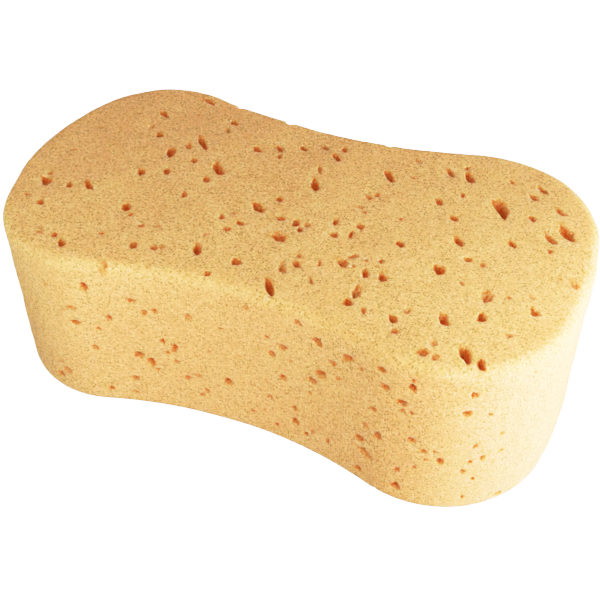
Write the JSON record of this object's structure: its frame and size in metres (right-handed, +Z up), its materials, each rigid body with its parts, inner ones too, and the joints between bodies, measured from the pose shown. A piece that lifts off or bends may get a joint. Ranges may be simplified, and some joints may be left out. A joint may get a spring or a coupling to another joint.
{
  "type": "sponge",
  "caption": "Hourglass-shaped foam cleaning sponge with rounded edges, a waist to grip and open pores on every face.",
  "frame": {"origin": "middle of the flat base that the sponge rests on", "axes": "+X along the sponge's length, -Y its front long side, +Z up from the base"},
  "size_m": [0.22, 0.1219, 0.072],
  "materials": {
    "foam": "dry open-cell polyurethane foam, pale tan yellow, matte and finely speckled, orange inside the pores"
  },
  "bodies": {
    "root": {"sponge": "foam"}
  },
  "joints": []
}
